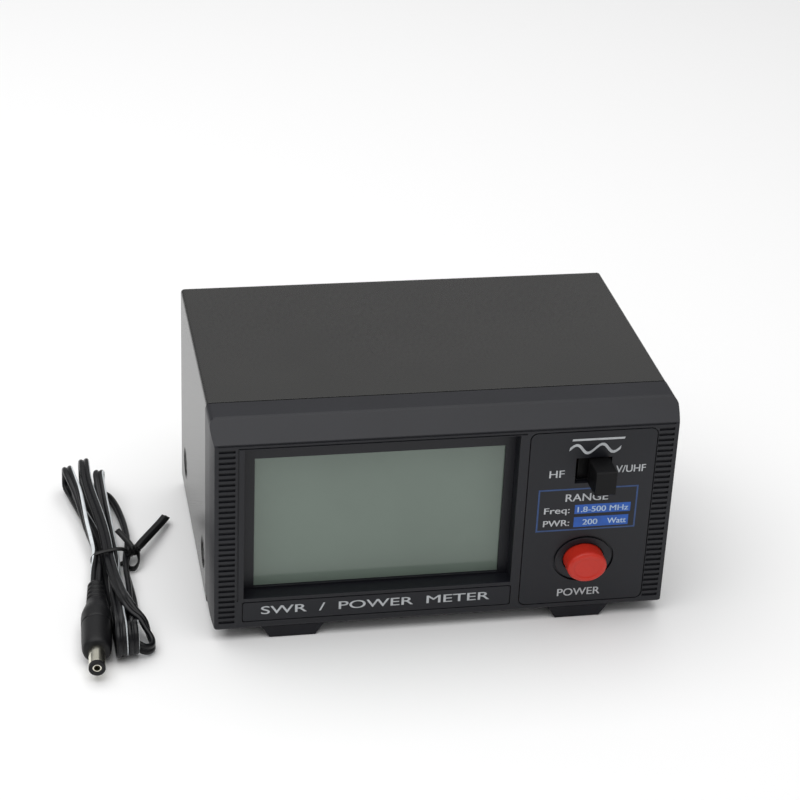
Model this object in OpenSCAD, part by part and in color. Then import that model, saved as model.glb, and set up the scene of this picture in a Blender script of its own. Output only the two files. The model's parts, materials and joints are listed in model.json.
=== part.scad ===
// Standing wave ratio and power meter for a radio station, with its loose supply lead.
// Millimetres. +Z is up and the front faces -Y.
// The origin is the middle of the meter's footprint, on the surface it stands on.

/* [Case] */
// Width of the case behind the rounded edges of its front
case_w = 157; // [156.5:0.5:170]
// Height of the case without its feet
case_h = 78; // [77:0.5:90]
// Depth of the case from the front face to the rear panel
case_d = 107; // [106:0.5:130]
// Thickness of the sheet steel
sheet = 1; // [0.8:0.1:1.2]
// How far the feet hold the case off the table
foot_h = 2.6; // [2.4:0.1:5]

/* [Front bezel] */
// Depth of the moulded bezel from the front face to the seam
bezel_d = 19.4; // [18:0.2:24]
// Height of the sloping strip along the top of the front
slope_h = 5.6; // [4:0.2:7]
// Depth of the sloping strip
slope_d = 8.7; // [7:0.1:10]
// How far the bottom edge of the front rises above the case bottom
toe_h = 2.6; // [2:0.1:3]
// Number of grip grooves in each ribbed column
rib_count = 33; // [20:1:33]

/* [Display] */
// Width of the window recess
window_w = 91.2; // [90:0.2:93]
// Height of the window recess
window_h = 56.8; // [54:0.2:57]
// Depth of the window recess
window_deep = 6; // [4:0.5:7]
// Width of the visible liquid crystal
lcd_w = 83.9; // [80:0.1:84.5]
// Height of the visible liquid crystal
lcd_h = 49.4; // [46:0.1:50]

/* [Controls] */
// Width of the oval power button
button_w = 13.8; // [12:0.1:14.4]
// Height of the oval power button
button_h = 11.4; // [10:0.1:12]
// How far the button stands out of the front face
button_out = 6.4; // [4:0.1:7]
// How far the button can be pushed in
button_travel = 3; // [2:0.1:3.2]
// How far the band knob stands out of the front face
knob_out = 10; // [8:0.5:12]
// How far the band knob slides sideways
knob_travel = 3.8; // [3:0.1:4]

/* [Rear] */
// Distance between neighbouring coaxial sockets
socket_pitch = 34; // [32:0.5:35]
// Outer radius of a coaxial socket's barrel
socket_r = 7.94; // [7.9:0.01:8]
// How far the sockets stand out of the rear panel
socket_out = 14; // [13:0.5:16]

/* [Supply lead] */
// Outer radius of the supply plug's metal sleeve
plug_r = 2.75; // [2.5:0.05:2.8]
// Length of the supply plug's metal sleeve with its tip
plug_len = 9.5; // [9:0.5:11]
// Height of the tied hank of cord
hank_h = 12.5; // [9:0.5:14]

/* [Hidden] */
$fn = 64;

// The front frame: y runs back from the front face, z runs up from its bottom edge.
front_y = -(knob_out + case_d + socket_out) / 2 + knob_out;
front_z = foot_h + toe_h;
low = -toe_h;
high = case_h - toe_h;
face_h = high - slope_h;
toe_d = 9;
edge_in = 1;
edge_d = 8;
half = case_w / 2;
skin = 2.5;

// The sheet steel cover sits a little inside the bezel's outline.
cover_step = 0.3;
cover_half = half - cover_step;
cover_top = high - cover_step;
seam = 0.5;
bend = 1.4;
tray_half = cover_half - sheet - 1.7;
dimple_r = 6;
dimple_deep = 1.7;
screw_z = 11.5;
screw_ys = [30.3, 92];
front_foot_xs = [-50.9, 48.2];
front_foot_y = 6;
rear_foot_x = 52;
rear_foot_y = 90;
foot_d = 11;
foot_hole_r = 1.35;

// The window, the overlays and the two controls.
window_x = -22.15;
window_z = 39.3;
lcd_x = -21.75;
lcd_z = 36.4;
glass_t = 2.8;
lcd_back = window_deep + 8;
overlay_t = 0.8;
panel_x = 48.6;
panel_w = 43.2;
panel_z = 34.7;
panel_h = 66.6;
title_x = -22.2;
title_w = 91.4;
title_z = 5.7;
title_h = 7.2;
button_x = 48.4;
button_z = 18.6;
ring_w = 21.2;
ring_h = 17.8;
knob_w = 7;
knob_h = 8.8;
slot_w = knob_w + knob_travel + 1.5;
slot_h = 9.6;
slot_x = 49.15;
slot_z = 53.2;
knob_x = slot_x + slot_w / 2 - 0.9 - knob_w / 2;
slider_y = 3.2;
rib_w = 5.4;
rib_x = half - 5.1;
rib_pitch = 2.04;
rib_z = 2.15;
groove = 0.5;
surround_left = -70;
surround_right = 25.6;
surround_top = 68.2;
surround_foot = 10;
post_xs = [31.5, 66.5];
post_zs = [8, 60];
switch_back = 26;
plunger_end = 17.6;
spring_y = plunger_end + button_travel + 0.5;
board_t = 1.6;

// The radio parts at the rear.
socket_z = 39;
socket_xs = [for (i = [-1.5, -0.5, 0.5, 1.5]) i * socket_pitch + sign(i) * 5];
flange = 25.4;
flange_t = 2.6;
hole_off = 9.1;
box_w = 63;
box_x = 39;
box_z = 22;
box_h = 34;
box_d = 32;
wall = 0.8;
line_y = case_d - 18;
jack_z = 11;
jack_bore_r = 2.85;

// The supply lead, in the front frame's x and y, standing on the table.
plug_x = -114.9;
plug_y = 31;
plug_turn = 3;
plug_axis_z = 5.2;
body_len = 40;
cord_r = 1.5;
tail_route = [
    [-114.9, 31, 5.2], [-114.7, 35, 5.2], [-114.2, 39, 5], [-113, 43, 4.8], [-111.4, 46, 4.6]
];
hank_top = [-114.5, 99, 12.5];
hank_waist = [-108, 51, 5];
hank_foot = [-103.4, -3.8, 6.2];

module front_frame() {
    translate([0, front_y, front_z])
        children();
}

// Rests on the table, with x and y from the front frame.
module table_frame() {
    translate([0, front_y, 0])
        children();
}

// A cylinder that runs back from y.
module rod_y(x, y, z, r, len) {
    translate([x, y, z])
        rotate([-90, 0, 0])
            cylinder(r = r, h = len);
}

// A cylinder that runs to the right from x.
module rod_x(x, y, z, r, len) {
    translate([x, y, z])
        rotate([0, 90, 0])
            cylinder(r = r, h = len);
}

// A box given by its middle in x and z, its front y, and its sizes.
module block(x, y, z, w, d, h) {
    translate([x - w / 2, y, z - h / 2])
        cube([w, d, h]);
}

// Extrudes an outline drawn in x and z back from y.
module prism_y(y, d) {
    translate([0, y + d, 0])
        rotate([90, 0, 0])
            linear_extrude(height = d)
                children();
}

// Extrudes an outline drawn in y and z across the width.
module prism_x(x, w) {
    translate([x, 0, 0])
        rotate([90, 0, 90])
            linear_extrude(height = w)
                children();
}

module round_rect(w, h, r) {
    square([w - 2 * r, h], center = true);
    square([w, h - 2 * r], center = true);
    for (i = [-1, 1])
        for (j = [-1, 1])
            translate([i * (w / 2 - r), j * (h / 2 - r)])
                circle(r);
}

// A plate with round corners, given as a block is.
module round_block(x, y, z, w, d, h, r) {
    prism_y(y, d)
        translate([x, z])
            round_rect(w, h, r);
}

// An oval rod round the power button's axis that runs back from y.
module button_oval(y, w, h, len) {
    prism_y(y, len)
        translate([button_x, button_z])
            polygon([for (a = [0:6:354]) [w / 2 * cos(a), h / 2 * sin(a)]]);
}

// A pan head screw that points up, with its head's underside at z.
module screw_up(x, y, z, r, len) {
    translate([x, y, z - 0.01])
        cylinder(r = r, h = len);
    difference() {
        translate([x, y, z - 1.2])
            cylinder(r = 2 * r, h = 1.2);
        for (a = [0, 90])
            translate([x, y, z - 1.2])
                rotate([0, 0, a])
                    cube([2.4 * r, 0.5, 1.2], center = true);
    }
}

function unit(v) = v / norm(v);

// The tube's direction at point i of a route.
function heading(route, i) = unit(
    route[min(i + 1, len(route) - 1)] - route[max(i - 1, 0)]
);

// A tube of radius r along a route; across is a direction that the route never takes.
module tube(route, r, across, sides = 8) {
    last = len(route) - 1;
    points = [
        for (i = [0:last])
            let (
                ahead = heading(route, i),
                side = unit(cross(ahead, across)),
                rise = cross(side, ahead)
            )
            for (k = [0:sides - 1])
                route[i] + r * (cos(360 * k / sides) * side + sin(360 * k / sides) * rise)
    ];
    walls = [
        for (i = [0:last - 1])
            for (k = [0:sides - 1])
                let (next = (k + 1) % sides)
                [i * sides + k, i * sides + next, (i + 1) * sides + next, (i + 1) * sides + k]
    ];
    start_cap = [for (k = [sides - 1:-1:0]) k];
    end_cap = [for (k = [0:sides - 1]) last * sides + k];
    polyhedron(points = points, faces = concat([start_cap], walls, [end_cap]), convexity = 4);
}

// Case ---------------------------------------------------------------------------------------

// The bezel's outline in y and z: curved toe, upright front, sloping strip, flat top.
function toe_arc() = [for (a = [0:10:90]) [toe_d * (1 - cos(a)), -toe_h * sin(a)]];

module bezel_outline() {
    polygon(concat(
        [for (i = [9:-1:0]) toe_arc()[i]],
        [[0, face_h - 0.5], [0.35, face_h], [slope_d - 0.5, high - 0.25], [slope_d + 0.7, high]],
        [[bezel_d - 0.6, high], [bezel_d, high - 0.4], [bezel_d, low]]
    ));
}

function edge_arc() = [for (t = [0:0.2:1]) [half - edge_in * (1 - t) * (1 - t), edge_d * t]];

// The bezel seen from above: its sides curve in towards the front face.
module bezel_plan() {
    polygon(concat(
        edge_arc(),
        [[half, bezel_d + 1], [-half, bezel_d + 1]],
        [for (i = [5:-1:0]) [-edge_arc()[i][0], edge_arc()[i][1]]]
    ));
}

module bezel_block() {
    intersection() {
        prism_x(-half, case_w)
            bezel_outline();
        prism_y(-1, bezel_d + 2)
            translate([0, (high + low) / 2])
                intersection() {
                    round_rect(case_w, case_h, 2.2);
                    translate([0, 10])
                        round_rect(case_w, case_h + 20, 6);
                }
        translate([0, 0, low - 1])
            linear_extrude(height = case_h + 2)
                bezel_plan();
    }
}

module bezel_hollow() {
    prism_x(-half + skin, case_w - 2 * skin)
        polygon([
            [skin, 1.6], [toe_d, low + 2.2], [bezel_d + 6, low + 2.2],
            [bezel_d + 6, cover_top - sheet - 1.8], [slope_d + 1, cover_top - sheet - 1.8],
            [skin, face_h - 1.2]
        ]);
}

// The skirt that the cover slides over.
module bezel_skirt() {
    w = 2 * (cover_half - sheet - 0.1);
    bottom = low + sheet + 0.05;
    top = cover_top - sheet - 0.1;
    block(0, bezel_d - 0.5, (top + bottom) / 2, w, 5.5, top - bottom);
}

// A fine groove under the slope, and another along the top and left of the window's surround.
module face_grooves() {
    block(0, -1, face_h - 0.45, case_w - 4.4, 1.4, groove);
    block(
        (surround_left + surround_right) / 2, -1, surround_top,
        surround_right - surround_left, 1.4, groove
    );
    block(
        surround_left + groove / 2, -1, (surround_top + surround_foot) / 2,
        groove, 1.4, surround_top - surround_foot
    );
}

module rib_grooves(x) {
    for (i = [0:rib_count - 1])
        block(x, -1, rib_z + i * rib_pitch, rib_w, 1.7, 1.1);
}

module window_tunnel(grow) {
    block(window_x, 0, window_z, window_w + 2 * grow, window_deep, window_h + 2 * grow);
}

module front_bezel() {
    color([0.15, 0.15, 0.17])
        front_frame()
            difference() {
                union() {
                    difference() {
                        union() {
                            bezel_block();
                            bezel_skirt();
                        }
                        bezel_hollow();
                        // the tray's side walls and floor reach in beside the skirt
                        for (s = [-1, 1])
                            block(s * (half - 1), bezel_d, 20, 6.2, 8, 50);
                    }
                    intersection() {
                        window_tunnel(1.8);
                        bezel_block();
                    }
                    for (x = post_xs)
                        for (z = post_zs)
                            rod_y(x, skin - 0.5, z, 2.6, switch_back - skin + 0.5);
                }
                translate([0, -1, 0])
                    block(window_x, 0, window_z, window_w, window_deep + 2, window_h);
                for (s = [-1, 1])
                    rib_grooves(s * rib_x);
                face_grooves();
                round_block(panel_x, -1, panel_z, panel_w + 0.7, 1 + overlay_t, panel_h + 0.7, 2.6);
                round_block(title_x, -1, title_z, title_w + 0.7, 1 + overlay_t, title_h + 0.7, 0.8);
                block(slot_x, -1, slot_z, slot_w, skin + 3, slot_h);
                button_oval(-1, ring_w + 0.1, ring_h + 0.1, skin + 3);
                for (s = [-1, 1])
                    rod_y(slot_x + s * 11.5, 1.2, slot_z, 1.05, 5);
                for (x = post_xs)
                    for (z = post_zs)
                        rod_y(x, switch_back - 8, z, 1.05, 9);
                for (s = [-1, 1])
                    for (x = [22, 62])
                        translate([s * x, bezel_d + 2.6, low])
                            cylinder(r = 1.3, h = 8);
                for (x = front_foot_xs)
                    translate([x, front_foot_y, low - 1])
                        cylinder(r = foot_hole_r, h = 5);
            }
}

// A dish pressed into a side of the cover, wide at the outside.
module cover_dimple(s, y, r1, r2, deep) {
    translate([s * (cover_half + 0.01), y, screw_z])
        rotate([0, -90 * s, 0])
            cylinder(r1 = r1, r2 = r2, h = deep);
}

module top_cover() {
    d = case_d - bezel_d - seam;
    mid = (cover_top + low) / 2;
    color([0.2, 0.2, 0.19])
        front_frame()
            difference() {
                union() {
                    difference() {
                        prism_y(bezel_d + seam, d)
                            translate([0, mid])
                                round_rect(2 * cover_half, cover_top - low, bend);
                        prism_y(bezel_d, d + 2)
                            translate([0, mid])
                                square(
                                    [2 * (cover_half - sheet), cover_top - low - 2 * sheet], center = true
                                );
                        block(0, bezel_d, low, 2 * tray_half + 0.1, d + 2, 6);
                    }
                    for (s = [-1, 1])
                        for (y = screw_ys)
                            cover_dimple(s, y, dimple_r + 0.8, 4.2, dimple_deep + sheet);
                }
                for (s = [-1, 1])
                    for (y = screw_ys) {
                        cover_dimple(s, y, dimple_r, 3.6, dimple_deep);
                        rod_x(s * half - 6, y, screw_z, 1.6, 12);
                    }
                for (s = [-1, 1])
                    block(s * (tray_half - 1), bezel_d, screw_z, 2.02, case_d, 30);
            }
}

module cover_screws() {
    color([0.08, 0.08, 0.08])
        front_frame()
            for (s = [-1, 1])
                for (y = screw_ys)
                    translate([s * (tray_half + sheet + 0.01), y, screw_z])
                        rotate([0, 90 * s, 0]) {
                            translate([0, 0, -8])
                                cylinder(r = 1.5, h = 8.01);
                            difference() {
                                cylinder(r = 2.9, h = 1.3);
                                for (a = [0, 90])
                                    rotate([0, 0, a])
                                        translate([0, 0, 1.3])
                                            cube([3.4, 0.6, 1.4], center = true);
                            }
                        }
}

module bottom_chassis() {
    len = case_d - sheet - bezel_d - 0.05;
    color([0.62, 0.63, 0.64])
        front_frame()
            difference() {
                block(0, bezel_d + 0.05, low + 11, 2 * tray_half, len, 22);
                block(0, bezel_d, low + 15, 2 * (tray_half - sheet), len + 2, 28);
                block(0, bezel_d - 1, low + 20, 2 * tray_half + 2, 7, 38);
                for (s = [-1, 1]) {
                    for (x = [22, 62])
                        translate([s * x, bezel_d + 2.6, low - 1])
                            cylinder(r = 1.3, h = 4);
                    for (x = [20, 60])
                        translate([s * x, case_d - 6, low - 1])
                            cylinder(r = 1.3, h = 4);
                    translate([s * rear_foot_x, rear_foot_y, low - 1])
                        cylinder(r = foot_hole_r, h = 4);
                    for (y = screw_ys)
                        rod_x(s * tray_half - 3, y, screw_z, 1.55, 6);
                }
            }
}

module rear_panel() {
    top = cover_top - sheet - 0.1;
    color([0.13, 0.13, 0.13])
        front_frame()
            difference() {
                union() {
                    block(
                        0, case_d - sheet, (top + low) / 2,
                        2 * (cover_half - sheet - 0.1), sheet, top - low
                    );
                    block(
                        0, case_d - 11, low + 1.5 * sheet,
                        2 * (tray_half - sheet) - 0.4, 11 - 0.5 * sheet, sheet
                    );
                }
                for (x = socket_xs) {
                    rod_y(x, case_d - 3, socket_z, 7.65, 6);
                    for (i = [-1, 1])
                        for (j = [-1, 1])
                            rod_y(x + i * hole_off, case_d - 3, socket_z + j * hole_off, 1.55, 6);
                }
                rod_y(0, case_d - 3, jack_z, 5.45, 6);
                for (s = [-1, 1])
                    for (x = [20, 60])
                        translate([s * x, case_d - 6, low - 1])
                            cylinder(r = 1.25, h = 5);
                // the cover's inward folds along the bottom
                for (s = [-1, 1])
                    block(s * half, case_d - 2, low, 2 * (half - tray_half) + 0.1, 4, 2 * sheet + 0.1);
            }
}

// Feet ---------------------------------------------------------------------------------------

// One foot, with a recess under it for its screw; y is its middle.
module foot(x, y) {
    difference() {
        translate([x, y, 0])
            prism_y(-foot_d / 2, foot_d)
                polygon([
                    [-7.8, -front_z], [7.8, -front_z], [11, -0.2], [11, 1], [-11, 1], [-11, -0.2]
                ]);
        translate([x, y, -front_z - 1])
            cylinder(r = 3, h = 2.8);
        translate([x, y, -front_z - 1])
            cylinder(r = foot_hole_r, h = 9);
    }
}

module front_feet() {
    color([0.09, 0.09, 0.12])
        front_frame()
            for (x = front_foot_xs)
                difference() {
                    foot(x, front_foot_y);
                    bezel_block();
                }
}

module rear_feet() {
    color([0.09, 0.09, 0.12])
        front_frame()
            for (s = [-1, 1])
                difference() {
                    foot(s * rear_foot_x, rear_foot_y);
                    block(s * rear_foot_x, rear_foot_y - 15, low + 10, 40, 30, 20);
                }
}

module foot_screws() {
    color([0.6, 0.6, 0.6])
        front_frame() {
            for (x = front_foot_xs)
                screw_up(x, front_foot_y, -front_z + 1.8, foot_hole_r - 0.05, 3.6);
            for (s = [-1, 1])
                screw_up(s * rear_foot_x, rear_foot_y, -front_z + 1.8, foot_hole_r - 0.05, 4);
        }
}

module bezel_screws() {
    color([0.55, 0.55, 0.56])
        front_frame()
            for (x = [-62, -22, 22, 62])
                screw_up(x, bezel_d + 2.6, low, 1.25, 4.4);
}

module rear_screws() {
    color([0.55, 0.55, 0.56])
        front_frame()
            for (x = [-60, -20, 20, 60])
                screw_up(x, case_d - 6, low, 1.2, 4);
}

// Display ------------------------------------------------------------------------------------

lcd_outer_w = window_w + 3.2;
lcd_outer_h = window_h + 3.2;
glass_w = lcd_w + 3.4;
glass_h = lcd_h + 5;
zebra_h = 2.6;
lcd_screw_x = 45.5;

module lcd_frame() {
    color([0.12, 0.12, 0.13])
        front_frame()
            difference() {
                block(window_x, window_deep, window_z, lcd_outer_w, lcd_back - window_deep, lcd_outer_h);
                block(lcd_x, window_deep - 1, lcd_z, lcd_w, 3, lcd_h);
                block(lcd_x, window_deep + 1, lcd_z, glass_w + 0.1, lcd_back, glass_h + 0.1);
                for (i = [-1, 1])
                    for (j = [-1, 1])
                        rod_y(window_x + i * lcd_screw_x, lcd_back - 4, window_z + j * 28, 0.85, 6);
            }
}

module lcd_glass() {
    color([0.44, 0.49, 0.46])
        front_frame()
            block(lcd_x, window_deep + 1, lcd_z, glass_w, glass_t, glass_h);
}

module lcd_backlight() {
    color([0.92, 0.92, 0.88])
        front_frame()
            block(lcd_x, window_deep + 1 + glass_t, lcd_z, glass_w, 4.2, glass_h - 2 * zebra_h - 0.4);
}

module zebra_strips() {
    color([0.55, 0.35, 0.45])
        front_frame()
            for (s = [-1, 1])
                block(
                    lcd_x, window_deep + 1 + glass_t, lcd_z + s * (glass_h - zebra_h) / 2,
                    glass_w - 4, 4.2, zebra_h
                );
}

module display_board() {
    color([0.1, 0.35, 0.18])
        front_frame()
            difference() {
                block(window_x, lcd_back, window_z, lcd_outer_w - 0.6, board_t, lcd_outer_h - 0.6);
                for (i = [-1, 1])
                    for (j = [-1, 1])
                        rod_y(window_x + i * lcd_screw_x, lcd_back - 1, window_z + j * 28, 0.9, 6);
            }
}

module controller_chip() {
    y = lcd_back + board_t;
    color([0.1, 0.1, 0.1])
        front_frame() {
            block(window_x, y + 0.3, window_z, 14, 1.6, 14);
            for (i = [-5:5])
                for (s = [-1, 1]) {
                    block(window_x + i * 1.2, y, window_z + s * 7.8, 0.5, 0.6, 1.8);
                    block(window_x + s * 7.8, y, window_z + i * 1.2, 1.8, 0.6, 0.5);
                }
        }
}

module board_parts() {
    y = lcd_back + board_t;
    color([0.3, 0.3, 0.34])
        front_frame() {
            for (x = [-58, -50, 2, 10])
                rod_y(x, y, 52, 3.1, 8);
            block(-35, y, 58, 11, 4, 4.5);
            for (i = [0:5])
                block(-60 + i * 6, y, 20, 3.2, 1.2, 1.6);
            block(5, y, 22, 15, 7, 6);
        }
}

module board_screws() {
    color([0.6, 0.6, 0.6])
        front_frame()
            for (i = [-1, 1])
                for (j = [-1, 1])
                    translate([window_x + i * lcd_screw_x, lcd_back + board_t, window_z + j * 28]) {
                        rod_y(0, -5, 0, 0.8, 5.01);
                        rod_y(0, 0, 0, 1.7, 1.1);
                    }
}

// Front controls -----------------------------------------------------------------------------

module control_panel() {
    color([0.16, 0.17, 0.19])
        front_frame()
            difference() {
                round_block(panel_x, 0, panel_z, panel_w, overlay_t, panel_h, 2.3);
                block(slot_x, -1, slot_z, slot_w, 3, slot_h);
                button_oval(-1, ring_w + 0.1, ring_h + 0.1, 3);
            }
}

module title_strip() {
    color([0.16, 0.17, 0.19])
        front_frame()
            round_block(title_x, 0, title_z, title_w, overlay_t, title_h, 0.6);
}

// A black ring around the button, with a narrow step round its outer edge.
module button_ring() {
    color([0.09, 0.09, 0.1])
        front_frame()
            difference() {
                union() {
                    button_oval(0.8, ring_w, ring_h, 3.6);
                    button_oval(0, ring_w - 1.5, ring_h - 1.5, 1);
                }
                button_oval(-1, button_w + 0.7, button_h + 0.7, 7);
            }
}

// The cap, with a rounded rim and a shallow dish in its face.
module power_button() {
    r = button_w / 2;
    rim = 1.3;
    color([0.75, 0.16, 0.1])
        front_frame()
            translate([button_x, -button_out, button_z])
                rotate([-90, 0, 0])
                    scale([1, button_h / button_w, 1])
                        rotate_extrude()
                            polygon(concat(
                                [[0, 0.45], [r - 2.6, 0.25], [r - 1.9, 0]],
                                [for (a = [0:15:90]) [r - rim + rim * sin(a), rim - rim * cos(a)]],
                                [[r, button_out + 4], [0, button_out + 4]]
                            ));
}

module power_plunger() {
    color([0.85, 0.85, 0.82])
        front_frame()
            block(button_x, 4, button_z, 3, plunger_end - 4, 3);
}

module power_switch_frame() {
    color([0.18, 0.18, 0.2])
        front_frame()
            difference() {
                block(button_x, 10.5, button_z, 9, switch_back - 10.5, 9);
                block(button_x, 10, button_z, 3.6, 7.2, 3.6);
                rod_y(button_x, 16.5, button_z, 2.6, 8.5);
            }
}

// The return spring, drawn at its pressed length.
module power_spring() {
    turns = 4;
    steps = 16;
    color([0.75, 0.75, 0.78])
        front_frame()
            tube(
                [
                    for (i = [0:turns * steps])
                        [
                            button_x + 1.9 * cos(360 * i / steps),
                            spring_y + 3.5 * i / (turns * steps),
                            button_z + 1.9 * sin(360 * i / steps)
                        ]
                ],
                0.22, [0, 1, 0], 6
            );
}

module power_switch_pins() {
    color([0.8, 0.78, 0.7])
        front_frame()
            for (i = [-1, 1])
                for (j = [-1, 0, 1])
                    block(button_x + i * 2.5, switch_back, button_z + j * 2.5, 0.6, 3.4, 0.8);
}

module band_knob() {
    color([0.07, 0.07, 0.08])
        front_frame() {
            prism_x(knob_x - knob_w / 2, knob_w)
                translate([0, slot_z])
                    polygon([
                        [-knob_out, -knob_h / 2 + 0.5], [-knob_out + 0.5, -knob_h / 2], [0.4, -knob_h / 2],
                        [0.4, knob_h / 2], [-knob_out + 0.5, knob_h / 2], [-knob_out, knob_h / 2 - 0.5]
                    ]);
            block(knob_x, 0.3, slot_z, 5, slider_y - 0.3, 6);
        }
}

// The sliding block behind the knob, wide enough to close the slot beside it.
module band_slider() {
    color([0.1, 0.1, 0.11])
        front_frame()
            block(knob_x, slider_y, slot_z, 12.6, 8.6 - slider_y, 9.4);
}

// A folded steel cap with two ears.
module band_switch_frame() {
    color([0.72, 0.72, 0.74])
        front_frame()
            difference() {
                union() {
                    block(slot_x, skin, slot_z, 30, 0.6, 9);
                    block(slot_x, skin, slot_z, 18, 7.5, 11);
                }
                block(slot_x, skin + 0.6, slot_z, 16.8, 8, 9.8);
                block(slot_x, 0, slot_z, slot_w + 0.4, 3.2, slot_h + 0.1);
                for (s = [-1, 1])
                    rod_y(slot_x + s * 11.5, 0, slot_z, 1.05, 5);
            }
}

module band_switch_base() {
    color([0.45, 0.3, 0.18])
        front_frame()
            block(slot_x, skin + 7.5, slot_z, 18, 1.6, 11);
}

module band_switch_pins() {
    color([0.8, 0.78, 0.7])
        front_frame()
            for (i = [-1, 0, 1])
                for (j = [-1, 1])
                    block(slot_x + i * 5, skin + 9.1, slot_z + j * 2.6, 1.4, 4, 0.6);
}

module band_screws() {
    color([0.6, 0.6, 0.6])
        front_frame()
            for (s = [-1, 1])
                translate([slot_x + s * 11.5, skin + 0.6, slot_z]) {
                    rod_y(0, -1.8, 0, 1, 1.81);
                    rod_y(0, 0, 0, 1.8, 1.1);
                }
}

module switch_board() {
    color([0.1, 0.35, 0.18])
        front_frame()
            difference() {
                block(button_x + 0.5, switch_back, 34, 42, board_t, 60);
                for (x = post_xs)
                    for (z = post_zs)
                        rod_y(x, switch_back - 1, z, 1.1, 5);
                for (i = [-1, 1])
                    for (j = [-1, 0, 1])
                        block(button_x + i * 2.5, switch_back - 1, button_z + j * 2.5, 0.7, 5, 0.9);
            }
}

module switch_board_screws() {
    color([0.6, 0.6, 0.6])
        front_frame()
            for (x = post_xs)
                for (z = post_zs)
                    translate([x, switch_back + board_t, z]) {
                        rod_y(0, -7, 0, 1, 7.01);
                        rod_y(0, 0, 0, 2, 1.2);
                    }
}

// Radio parts --------------------------------------------------------------------------------

module socket_shells() {
    color([0.8, 0.8, 0.8])
        front_frame()
            for (x = socket_xs)
                difference() {
                    union() {
                        round_block(x, case_d, socket_z, flange, flange_t, flange, 1.5);
                        rod_y(x, case_d, socket_z, socket_r, socket_out);
                        rod_y(x, case_d - 5, socket_z, 7.5, 6);
                    }
                    rod_y(x, case_d - 6, socket_z, 6.3, socket_out + 8);
                    for (i = [-1, 1])
                        for (j = [-1, 1])
                            rod_y(x + i * hole_off, case_d - 1, socket_z + j * hole_off, 1.6, 6);
                }
}

module socket_insulators() {
    color([0.93, 0.92, 0.88])
        front_frame()
            for (x = socket_xs)
                difference() {
                    rod_y(x, case_d - 5, socket_z, 6.3, socket_out + 3.4);
                    rod_y(x, case_d - 6, socket_z, 2.6, socket_out + 8);
                }
}

module socket_contacts() {
    color([0.8, 0.7, 0.4])
        front_frame()
            for (x = socket_xs)
                difference() {
                    rod_y(x, case_d - 8, socket_z, 2.6, socket_out + 6.4);
                    rod_y(x, case_d - 3, socket_z, 2, socket_out + 6);
                }
}

module socket_screws() {
    y = case_d + flange_t;
    color([0.7, 0.7, 0.7])
        front_frame()
            for (x = socket_xs)
                for (i = [-1, 1])
                    for (j = [-1, 1])
                        translate([x + i * hole_off, y, socket_z + j * hole_off]) {
                            rod_y(0, -5, 0, 1.5, 5.01);
                            difference() {
                                rod_y(0, 0, 0, 2.8, 1.5);
                                for (a = [0, 90])
                                    rotate([0, a, 0])
                                        block(0, 0.9, 0, 3.2, 2, 0.6);
                            }
                        }
}

// A tinplate box that is open at the top, around two sockets.
module sensor_box(x) {
    front = case_d - sheet - box_d;
    color([0.75, 0.75, 0.72])
        front_frame()
            difference() {
                block(x, front, box_z + box_h / 2, box_w, box_d, box_h);
                block(x, front + wall, box_z + box_h / 2 + wall, box_w - 2 * wall, box_d - 2 * wall, box_h);
                for (s = [-1, 1]) {
                    rod_y(x + s * socket_pitch / 2, case_d - 6, socket_z, 7.6, 6);
                    for (i = [-1, 1])
                        for (j = [-1, 1])
                            rod_y(
                                x + s * socket_pitch / 2 + i * hole_off, case_d - 6,
                                socket_z + j * hole_off, 1.6, 6
                            );
                }
                block(x, front - 1, box_z + 8, 5, 4, 5);
            }
}

module sensor_lid(x) {
    front = case_d - sheet - box_d;
    color([0.78, 0.78, 0.75])
        front_frame()
            block(x, front, box_z + box_h + wall / 2, box_w, box_d, wall);
}

// A through line from one socket's contact to the next: two rods into a square bar.
module hf_line() {
    x = -box_x;
    r = 1.2;
    bar = 2.8;
    color([0.75, 0.45, 0.25])
        front_frame() {
            for (s = [-1, 1])
                rod_y(x + s * socket_pitch / 2, line_y, socket_z, r, case_d - 8 - line_y);
            block(x, line_y - bar / 2, socket_z, socket_pitch + bar, bar, bar);
        }
}

module hf_toroid() {
    color([0.2, 0.2, 0.22])
        front_frame()
            translate([-box_x - 2.5, line_y, socket_z])
                rotate([0, 90, 0])
                    difference() {
                        cylinder(r = 6.5, h = 5);
                        translate([0, 0, -1])
                            cylinder(r = 3, h = 7);
                    }
}

// A board on the sensor box's floor, with its parts.
module sensor_board(x, z) {
    front = case_d - sheet - box_d;
    color([0.1, 0.35, 0.18])
        front_frame() {
            block(x, front + 4, z, box_w - 8, box_d - 12, board_t);
            for (i = [-1, 1])
                for (y = [front + 6, front + 20])
                    translate([x + i * 24, y, box_z + wall])
                        cylinder(r = 2, h = z - box_z - wall);
            for (i = [-2:2])
                if (i != 0)
                    block(x + i * 9, front + 6, z + 1.6, 3.2, 1.6, 2);
        }
}

module hf_board() {
    sensor_board(-box_x, box_z + 6);
}

module vuhf_board() {
    sensor_board(box_x, box_z + 10);
}

module hf_sensor_box() {
    sensor_box(-box_x);
}

module hf_sensor_lid() {
    sensor_lid(-box_x);
}

module vuhf_sensor_box() {
    sensor_box(box_x);
}

module vuhf_sensor_lid() {
    sensor_lid(box_x);
}

module vuhf_line() {
    x = box_x;
    color([0.75, 0.45, 0.25])
        front_frame() {
            for (s = [-1, 1])
                block(x + s * socket_pitch / 2, line_y - 1.4, socket_z, 2.8, case_d - 8 - line_y + 1.4, 0.8);
            block(x, line_y - 1.4, socket_z, socket_pitch + 2.8, 2.8, 0.8);
        }
}

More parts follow.
